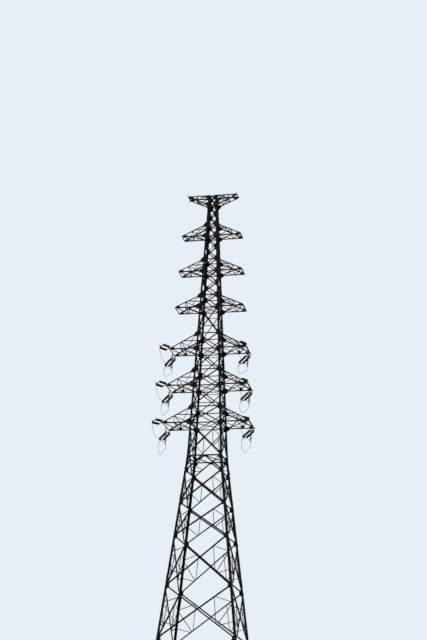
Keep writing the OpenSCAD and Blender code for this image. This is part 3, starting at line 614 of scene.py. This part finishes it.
# Straps, links and ends of the strings. Profiles are (radius, height) pairs
fitting = {
    "link": 0.13, "jumperLink": 0.07, "yoke": 0.1, "neck": 0.025, "twin": 0.28,
    "sides": 12, "knuckleSides": 14,
    "lugPast": 0.06, "lugLift": 0.005, "hangerDrop": 0.045,
    "lugIn": 0.4, "hangerIn": 0.5,  # how far in from the tip a string is held, in chord widths
    "strap": 0.02, "strapBack": -0.022, "strapThick": 0.008, "strapRound": 0.012,
    "strapShift": 0.009, "strapPin": (0.03, 0.01), "jumperStrap": 0.054,
    "knuckle": [(0, -0.018), (0.019, -0.016), (0.022, -0.010), (0.022, -0.002), (0.018, 0),
                (0.022, 0.004), (0.022, 0.014), (0.017, 0.020), (0, 0.022)],
    "socket": [(0, -0.05), (0.016, -0.048), (0.018, -0.03), (0.012, -0.018), (0.014, 0),
               (0, 0.003)],
    "ball": [(0, -0.002), (0.018, 0), (0.020, 0.012), (0.014, 0.024), (0.017, 0.045), (0, 0.048)],
    "jumperTop": [(0, -0.028), (0.016, -0.026), (0.0178, -0.018), (0.0178, -0.010),
                  (0.013, -0.006), (0.014, 0), (0, 0.003)],
    "jumperEnd": [(0, -0.003), (0.018, 0), (0.020, 0.010), (0.013, 0.018), (0.011, 0.026),
                  (0.017, 0.030), (0.0188, 0.038), (0.0188, 0.060), (0, 0.065)],
    "tongueFrom": 0.055, "tongue": (0.022, 0, 0.06, 0.026), "tongueThick": 0.014,
    "tongueRound": 0.01, "tonguePinAt": 0.072, "tonguePin": (0.016, 0.007),
}
yoke = {
    "narrow": 0.03, "shoulder": (0.03, 0.058), "end": (0.026, 0.1), "thick": 0.012,
    "round": 0.012, "pinAt": 0.08, "pin": (0.02, 0.009), "outerShift": 0.01,
}
# The radii of a clamp's body are shares of its radius
deadEnd = {
    "radius": 0.017, "sides": 14, "back": 0.01, "root": 0.2,
    "terminal": 0.11, "terminalRadius": 0.015, "terminalSides": 12, "terminalLean": (0.25, -0.35),
    "padAt": 0.42, "pad": (0.021, -0.026, 0.026), "padThick": 0.034, "padRound": 0.006,
    "padBolts": (0.011, 0.014), "padBoltRadius": 0.0045,
    "body": [(0, 0), (0.9, 0), (1, 0.01), (1, 0.06), (1.12, 0.065), (1.12, 0.075), (1, 0.08),
             (1, 0.208), (0.72, 0.23), (0.7, 0.286), (0.5, 0.29), (0, 0.29)],
}
saddle = {
    "drop": 0.115, "sides": 14,
    "hoopAt": 0.032, "hoopRadius": 0.0235, "hoopWire": 0.0035, "hoopSides": 6,
    "shell": [(0, -0.077), (0.014, -0.077), (0.0165, -0.070), (0.0195, -0.045), (0.0205, -0.020),
              (0.0205, 0.020), (0.0195, 0.045), (0.0165, 0.070), (0.014, 0.077), (0, 0.077)],
}
stringStart = fitting["link"] + fitting["yoke"] + fitting["neck"]
stringEnd = fitting["link"] + 2 * fitting["yoke"] + 2 * fitting["neck"] + discsLong


def spanWay(which):
    turn, dip = math.radians(span[which]), math.radians(span[which + "Dip"])
    along = -1 if which == "near" else 1
    level = math.cos(dip)
    return Vector((-math.sin(turn) * level, along * math.cos(turn) * level, -math.sin(dip)))


# Where a tension string or a clamp is held, at the tip of a crossarm
def lugPoint(side, reach, z, way, lift):
    past = halfWidth(z) + fitting["lugPast"]
    x = side * (reach - tower["chord"] * fitting["lugIn"])
    return Vector((x, -past if way.y < 0 else past, z + lift))


def terminalWay(way):
    x, y = deadEnd["terminalLean"]
    return Vector((way.x * x, way.y * y, -1)).normalized()


# Two straps from a lug, with the pin that holds them
def addStraps(pile, m, length):
    f = fitting
    for side in (-1, 1):
        strap = m @ Matrix.Translation((0, side * f["strapShift"], 0))
        outline = uprightOutline(f["strap"], f["strapBack"], length)
        flatPlate(pile, strap, outline, f["strapThick"], f["strapRound"], metal)
    addPin(pile, m, 0, 0, *f["strapPin"])


# A yoke that spreads toward the pair of strings
def addYoke(pile, m, toward, wide):
    y = yoke
    shoulder, end = y["shoulder"], y["end"]
    corners = [(-y["narrow"], 0), (y["narrow"], 0), (wide + shoulder[0], toward * shoulder[1]),
               (wide + end[0], toward * end[1]), (-wide - end[0], toward * end[1]),
               (-wide - shoulder[0], toward * shoulder[1])]
    flatPlate(pile, m, corners, y["thick"], y["round"], metal)
    for side in (-1, 1):
        addPin(pile, m, toward * y["pinAt"], side * wide, *y["pin"])


# Clamp that ends a span's wire, with the bolted terminal of the jumper wire
def addDeadEnd(pile, m, at, way):
    d = deadEnd
    body = m @ Matrix.Translation((0, 0, stringEnd - d["back"]))
    addRevolve(pile, body, raised(d["body"], 0, d["radius"]), d["sides"], cast)
    root = at + way * (stringEnd + d["root"])
    end = root + terminalWay(way) * d["terminal"]
    bar = [root, root.lerp(end, 0.5), end]
    addTube(pile, bar, d["terminalRadius"], d["terminalSides"], cast)
    pad = aimed(root.lerp(end, d["padAt"]), terminalWay(way))
    flatPlate(pile, pad, uprightOutline(*d["pad"]), d["padThick"], d["padRound"], cast)
    across, along = d["padBolts"]
    for x in (-across, across):
        for z in (-along, along):
            addPin(pile, pad, z, x, d["padThick"], d["padBoltRadius"])


# A pair of strings toward a span, with a yoke at each end
def addTension(pile, at, way, tilt):
    f = fitting
    m = aimed(at, way)
    turned = m @ Matrix.Rotation(math.radians(tilt), 4, "Z")
    addStraps(pile, m, f["link"])
    addRevolve(pile, m, raised(f["knuckle"], f["link"]), f["knuckleSides"], metal)
    wide = f["twin"] / 2
    for z, toward in ((f["link"], 1), (stringEnd + yoke["outerShift"], -1)):
        addYoke(pile, turned @ Matrix.Translation((0, 0, z)), toward, wide)
    for side in (-1, 1):
        string = turned @ Matrix.Translation((side * wide, 0, stringStart))
        addDiscs(pile, string)
        addRevolve(pile, string, f["socket"], f["sides"], metal)
        addRevolve(pile, string, raised(f["ball"], discsLong), f["sides"], metal)
    addDeadEnd(pile, m, at, way)


# The single string under a tip, with the clamp that carries the jumper wire
def addJumperString(pile, at, way):
    f = fitting
    m = aimed(at, way)
    addStraps(pile, m, f["jumperStrap"])
    addRevolve(pile, m, raised(f["jumperTop"], f["jumperLink"]), f["sides"], metal)
    addDiscs(pile, m @ Matrix.Translation((0, 0, f["jumperLink"])))
    end = f["jumperLink"] + discsLong
    addRevolve(pile, m, raised(f["jumperEnd"], end), f["sides"], metal)
    tongue = m @ Matrix.Translation((0, 0, end + f["tongueFrom"]))
    flatPlate(pile, tongue, uprightOutline(*f["tongue"]), f["tongueThick"], f["tongueRound"], metal)
    addPin(pile, m, end + f["tonguePinAt"], 0, *f["tonguePin"])
    centre = at + way * (end + saddle["drop"])
    shellFrame = aimed(centre, Vector((0, 1, 0)))
    addRevolve(pile, shellFrame, saddle["shell"], saddle["sides"], cast)
    r = saddle["hoopRadius"]
    for y in (-saddle["hoopAt"], saddle["hoopAt"]):  # the keeper's U bolts
        angles = [math.pi * s / 6 for s in range(-6, 7)]
        hoop = [centre + Vector((math.cos(a) * r, y, math.sin(a) * r)) for a in angles]
        addTube(pile, hoop, saddle["hoopWire"], saddle["hoopSides"], metal)


strungArms = list(zip(tower["armLevels"], tower["armReaches"]))[:tower["strungPairs"]]
for which in ("near", "away"):
    way = spanWay(which)
    for side, sideName in sideNames:
        pile = newPile()
        for z, reach in strungArms:
            at = lugPoint(side, reach, z, way, fitting["lugLift"])
            addTension(pile, at, way, span[which + "Tilt"])
        piece = makePiece(f"{which}Discs_{sideName}", pile, stringFinish)
        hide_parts(f"{which}_strings_{sideName}")
swing = math.radians(span["swing"])
hangWay = Vector((-math.sin(swing), 0, -math.cos(swing)))
for side, sideName in sideNames:
    pile = newPile()
    for z, reach in strungArms:
        x = side * (reach - tower["chord"] * fitting["hangerIn"])
        addJumperString(pile, Vector((x, 0, z - fitting["hangerDrop"])), hangWay)
    piece = makePiece(f"jumperDiscs_{sideName}", pile, stringFinish)
    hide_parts(f"jumper_strings_{sideName}")
print("insulators strung")

# Clamps at the tips of the top crossarms
earthClamp = {
    "drop": 0.55, "strap": 0.091, "pinAt": 0.078, "pin": (0.03, 0.007),
    "eye": (0.016, 0.065, 0.13, 0.012), "eyeThick": 0.011, "eyeRound": 0.006, "start": 0.12,
    "body": [(0, 0), (0.8, 0), (1, 0.008), (1, 0.03), (1.08, 0.034), (1.08, 0.044), (0.94, 0.048),
             (0.74, 0.109), (0.5, 0.115), (0.48, 0.167), (0.36, 0.175), (0, 0.175)],
}
pile = newPile()
e = earthClamp
for side, sideName in sideNames:
    for which in ("near", "away"):
        way = spanWay(which)
        lift = -tower["chord"] * e["drop"]
        m = aimed(lugPoint(side, tower["earthReach"], tower["top"], way, lift), way)
        addStraps(pile, m, e["strap"])
        addPin(pile, m, e["pinAt"], 0, *e["pin"])
        flatPlate(pile, m, uprightOutline(*e["eye"]), e["eyeThick"], e["eyeRound"], metal)
        body = raised(e["body"], e["start"], deadEnd["radius"])
        addRevolve(pile, m, body, deadEnd["sides"], cast)
piece = makePiece("earthClamps", pile, stringFinish)
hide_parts("earth_wire_clamps")
print("earth clamps set")

# Bolts: a head on one side and a nut on the other
bolt = {
    "radius": 0.0095, "head": 0.007, "nut": 0.009, "shank": 0.006, "tail": 0.006, "sink": 0.001,
}


# m has its z out of the face. front and back are how far behind the face the two ends are
def addBolt(pile, m, x, y, front, back):
    b = bolt
    turned = Matrix.Rotation(random.random() * math.pi, 4, "Z")
    spot = m @ Matrix.Translation((x, y, 0)) @ turned
    hexagon = ringOutline(b["radius"], 6)
    end = -back - b["nut"]
    addPrism(pile, spot, hexagon, -front - b["sink"], -front + b["head"])
    addPrism(pile, spot, hexagon, end, -back + b["sink"])
    addPrism(pile, spot, ringOutline(b["shank"], 6), end - b["tail"], end + b["sink"])


# The middles of the crossarms' gussets on the legs
t = tower
armPlates = [z + t["chord"] / 2 for z in t["armLevels"]] + [t["top"] - t["chord"] / 2]
armPlates += [z + depth - t["chord"] / 2 for z, depth in zip(t["armLevels"], t["armDepths"])]
armPlates += [t["earthLow"] + t["chord"] / 2]
# Rows are shares of the leg's width, and the plates reach by chord widths
joint = {
    "first": 0.02, "pitch": 0.034, "past": 0.7, "legReach": 0.1, "legPitch": 0.075,
    "legRows": (0.68, 0.36), "armPlateReach": 2.7,
}


def panelSlope(z0, z1, leg):
    return (z1 - z0) / (halfWidth(z0) + halfWidth(z1) - leg)


# Bolts of both gussets of a joint. slopes are of the diagonals below and above it, 0 for none
def jointBolts(pile, k, z, slopes, leg, legThick, brace):
    t = tower
    for side in (-1, 1):
        m = faceFrame(k, side * halfWidth(z), z) @ mirrored(-side)
        ends = []
        for way, slope in zip((-1, 1), slopes):
            if slope == 0:
                continue
            d = Vector((1, slope)).normalized()
            run = leg / 2 + t["legGap"] + brace * 0.5 * d.y
            outside = (way < 0) == (side > 0)  # one of the crossed bars lies outside the gusset
            front = legThick - (t["braceThick"] if outside else 0)
            back = legThick + t["plate"] + (0 if outside else t["braceThick"])
            for n in range(2):
                along = (joint["first"] + n * joint["pitch"]) * d.x
                addBolt(pile, m, leg / 2 + run + along, way * (run + along) * slope, front, back)
            ends.append(way * (run + joint["past"] * brace) * slope)
        low, high = min(ends + [-joint["legReach"]]), max(ends + [joint["legReach"]])
        count = max(4, int((high - low) / joint["legPitch"]))
        for n in range(count):
            y = low + (high - low) * (n + 0.5) / count
            near = joint["armPlateReach"] * t["chord"]
            covered = k % 2 == 0 and any(abs(z + y - middle) < near for middle in armPlates)
            x = leg * joint["legRows"][n % 2] + leanAt(z) * y
            addBolt(pile, m, x, y, -t["plate"] if covered else 0, legThick + t["plate"])


upperLevels = [t["waist"] + t["waistLift"]]
for i, (z, depth) in enumerate(zip(t["armLevels"], t["armDepths"])):
    top = z + depth
    upperLevels += [z, top]
    if i >= t["strungPairs"]:  # from here up, the bay above a crossarm is halved
        following = (t["armLevels"] + [t["earthLow"]])[i + 1]
        upperLevels.append((top + following) / 2)
upperLevels += [t["earthLow"], t["top"] - t["upperBrace"]]
bodies = (
    (t["lowerLevels"], t["lowerLeg"], t["lowerLegThick"], t["lowerBrace"], t["waistSlope"]),
    (upperLevels, t["upperLeg"], t["upperLegThick"], t["upperBrace"], 0),
)
for k, faceName in enumerate(("near", "right", "away", "left")):
    pile = newPile()
    for levels, leg, thick, brace, lastSlope in bodies:
        panels = list(zip(levels, levels[1:]))
        slopes = [0] + [panelSlope(z0, z1, leg) for z0, z1 in panels] + [lastSlope]
        for n, z in enumerate(levels):
            jointBolts(pile, k, z, slopes[n:n + 2], leg, thick, brace)
        for z0, z1 in panels:  # one bolt where the diagonals cross
            a, b = halfWidth(z0) - leg / 2, halfWidth(z1) - leg / 2
            z = z0 + (z1 - z0) * a / (a + b)
            back = thick + t["plate"] + t["braceThick"]
            addBolt(pile, faceFrame(k, 0, z), 0, 0, thick - t["braceThick"], back)
    makePiece(f"bolts_{faceName}", pile, [boltSteel])
print("bolts set")

# Outer plates over the tip of one crossarm, on both of its faces
tipPlate = {
    "edge": 0.004, "nose": 0.085, "shoulder": 0.2, "length": 0.26, "radius": 0.012,
    "edgeHeight": 0.97, "noseHeight": 2.1, "backHeight": 1.3,  # these three in chord widths
    "backSlant": 0.02, "margin": 0.004, "foot": 0.002, "sink": 0.0005,
}


def addTipPlates(pile, side, levelZ, slantZ, reach):
    t, p = tower, tipPlate
    up = 1 if slantZ > levelZ else -1
    chord, tipUp = t["chord"], t["tipUp"] * t["chord"]
    slantBody = halfWidth(slantZ) + t["armGap"]
    slope = (abs(slantZ - levelZ) - tipUp) / (reach - t["tipIn"] * chord - slantBody)
    shoulder = tipUp + (p["shoulder"] - t["tipIn"] * chord) * slope - p["margin"]
    outline = [(p["edge"], p["foot"]), (p["edge"], p["edgeHeight"] * chord),
               (p["nose"], p["noseHeight"] * chord), (p["shoulder"], shoulder),
               (p["length"], p["backHeight"] * chord), (p["length"] - p["backSlant"], p["foot"])]
    corners = roundedPlate([(reach - x, up * y) for x, y in outline], p["radius"])
    for k, flip in ((0, side), (2, -side)):
        addPrism(pile, faceFrame(k, 0, levelZ) @ mirrored(flip), corners, -p["sink"], t["plate"])


# Rows are shares of the chord's width
armJoint = {
    "first": 0.022, "pitch": 0.04, "rows": (0.3, 0.7), "post": 0.57, "postRows": (0.32, 0.72),
    "postSpread": 0.022, "hanger": 0.07, "inner": 1.6, "levelRow": 0.55, "lap": 0.004,
    "levelTip": (0.05, 0.11, 0.17, 0.23), "slantTip": (0.03, 0.08, 0.13), "underPlate": 0.1,
}


# Bolts of one crossarm on both of its faces. low is the frame of its level chord
def armBolts(pile, side, levelZ, slantZ, reach, hasString):
    t, a = tower, armJoint
    up = 1 if slantZ > levelZ else -1
    chord, plate, thick = t["chord"], t["plate"], t["chordThick"]
    body = halfWidth(levelZ) + t["armGap"]
    post = body + (reach - body) * a["post"]
    slantBody = halfWidth(slantZ) + t["armGap"]
    start = Vector((slantBody, 0))
    rise = levelZ + up * t["tipUp"] * chord - slantZ
    run = Vector((reach - t["tipIn"] * chord - slantBody, rise))
    d = run.normalized()
    n = Vector((d.y, -d.x)) * up
    for k, flip in ((0, side), (2, -side)):
        low = faceFrame(k, 0, levelZ) @ mirrored(flip)
        high = faceFrame(k, 0, slantZ) @ mirrored(flip)
        for column in range(3):
            along = a["first"] + a["pitch"] * column
            for row in a["rows"]:
                addBolt(pile, low, body + along, up * row * chord, -plate, thick)
                spot = start + d * along + n * row * chord
                addBolt(pile, high, spot.x, spot.y, -plate, thick)
        foot = -plate if hasString and k == 2 else 0
        laps = [(post, row) for row in a["postRows"]] + [(body + a["inner"] * chord, 0.5)]
        for x, row in laps:
            addBolt(pile, low, x, up * row * chord, foot, thick + a["lap"])
        if foot:
            for x in (-a["hanger"], a["hanger"]):
                addBolt(pile, low, post + x, 0.5 * chord, foot, thick)
        spot = start + d * ((post - slantBody) / d.x) + n * 0.5 * chord
        for shift in (-a["postSpread"], a["postSpread"]):
            addBolt(pile, high, spot.x + d.x * shift, spot.y + d.y * shift, 0, thick + a["lap"])
        for x in a["levelTip"]:
            addBolt(pile, low, reach - x, up * a["levelRow"] * chord, -plate, thick + plate)
        for back in a["slantTip"]:
            spot = start + run - d * back + n * 0.5 * chord
            front = -plate if back < a["underPlate"] else 0
            addBolt(pile, high, spot.x, spot.y, front, thick + plate)


arms = [(z, z + depth, reach)
        for z, depth, reach in zip(t["armLevels"], t["armDepths"], t["armReaches"])]
arms.append((t["top"], t["earthLow"], t["earthReach"]))
for side, sideName in sideNames:
    pile, plates = newPile(), newPile()
    for i, (levelZ, slantZ, reach) in enumerate(arms):
        armBolts(pile, side, levelZ, slantZ, reach, i < t["strungPairs"])
        addTipPlates(plates, side, levelZ, slantZ, reach)
    makePiece(f"armBolts_{sideName}", pile, [boltSteel])
    makePiece(f"tipPlates_{sideName}", plates, [armSteel])
print("crossarm tips plated and bolted")

# Anchor bolts with two nuts and a washer, round each leg. Nuts and washers are wide in radii
anchor = {
    "gap": 0.37, "radius": 0.012, "plate": 0.025, "length": 0.07, "shift": 0.4,
    "sides": 14, "washerSides": 20,
    "washer": 2.1, "washerThick": 0.004, "sink": 0.001, "bevel": 0.003, "bevelRadius": 0.8,
    "nut": 1.75, "nuts": ((0.003, 0.024, 0), (0.025, 0.041, 0.4)),  # from, to and turned by
}
for k, cornerName in enumerate(("near_left", "near_right", "away_right", "away_left")):
    pile = newPile()
    a = anchor
    centre = a["shift"] * t["lowerLeg"] - halfWidth(a["plate"])
    r, long, wide = a["radius"], a["length"], a["radius"] * a["washer"]
    washer = [(0, -a["sink"]), (wide, -a["sink"]), (wide, a["washerThick"]), (0, a["washerThick"])]
    shaft = [(0, 0), (r, 0), (r, long - a["bevel"]), (r * a["bevelRadius"], long), (0, long)]
    for x in (-0.5, 0.5):
        for y in (-0.5, 0.5):
            at = (centre + x * a["gap"], centre + y * a["gap"], a["plate"])
            m = quarterTurn(k) @ Matrix.Translation(at)
            m = m @ Matrix.Rotation(random.random() * math.pi, 4, "Z")
            addRevolve(pile, m, washer, a["washerSides"])
            for z0, z1, start in a["nuts"]:
                addPrism(pile, m, ringOutline(r * a["nut"], 6, start), z0, z1)
            addRevolve(pile, m, shaft, a["sides"])
    makePiece(f"anchorBolts_{cornerName}", pile, [boltSteel])
print("anchor bolts set")

# Step bolts up two opposite legs, on alternate flanges
stepBolt = {
    "from": 1.2, "every": 0.2, "belowTop": 0.15, "across": 0.55, "radius": 0.0045, "sides": 8,
    "root": 0.02, "length": 0.075, "head": 1.7, "headHalf": 0.004, "nut": 1.9, "nutLong": 0.006,
    "sink": 0.001,
}
for corner, cornerName in ((1, "near_right"), (3, "away_left")):
    pile = newPile()
    s = stepBolt
    z, n = s["from"], 0
    while z < t["top"] - s["belowTop"]:
        leg = t["lowerLeg"] if z < t["waist"] else t["upperLeg"]
        face, way = (corner, -1) if n % 2 == 0 else (corner - 1, 1)
        x = way * (halfWidth(z) - leg * s["across"])
        m = faceFrame(face, 0, z) @ Matrix.Translation((x, 0, 0))
        addPrism(pile, m, ringOutline(s["radius"], s["sides"]), -s["root"], s["length"], 0, True)
        head = ringOutline(s["radius"] * s["head"], s["sides"])
        addPrism(pile, m, head, s["length"] - s["headHalf"], s["length"] + s["headHalf"])
        addPrism(pile, m, ringOutline(s["radius"] * s["nut"], 6), -s["sink"], s["nutLong"])
        z += s["every"]
        n += 1
    makePiece(f"stepBolts_{cornerName}", pile, [boltSteel])
print("step bolts set")
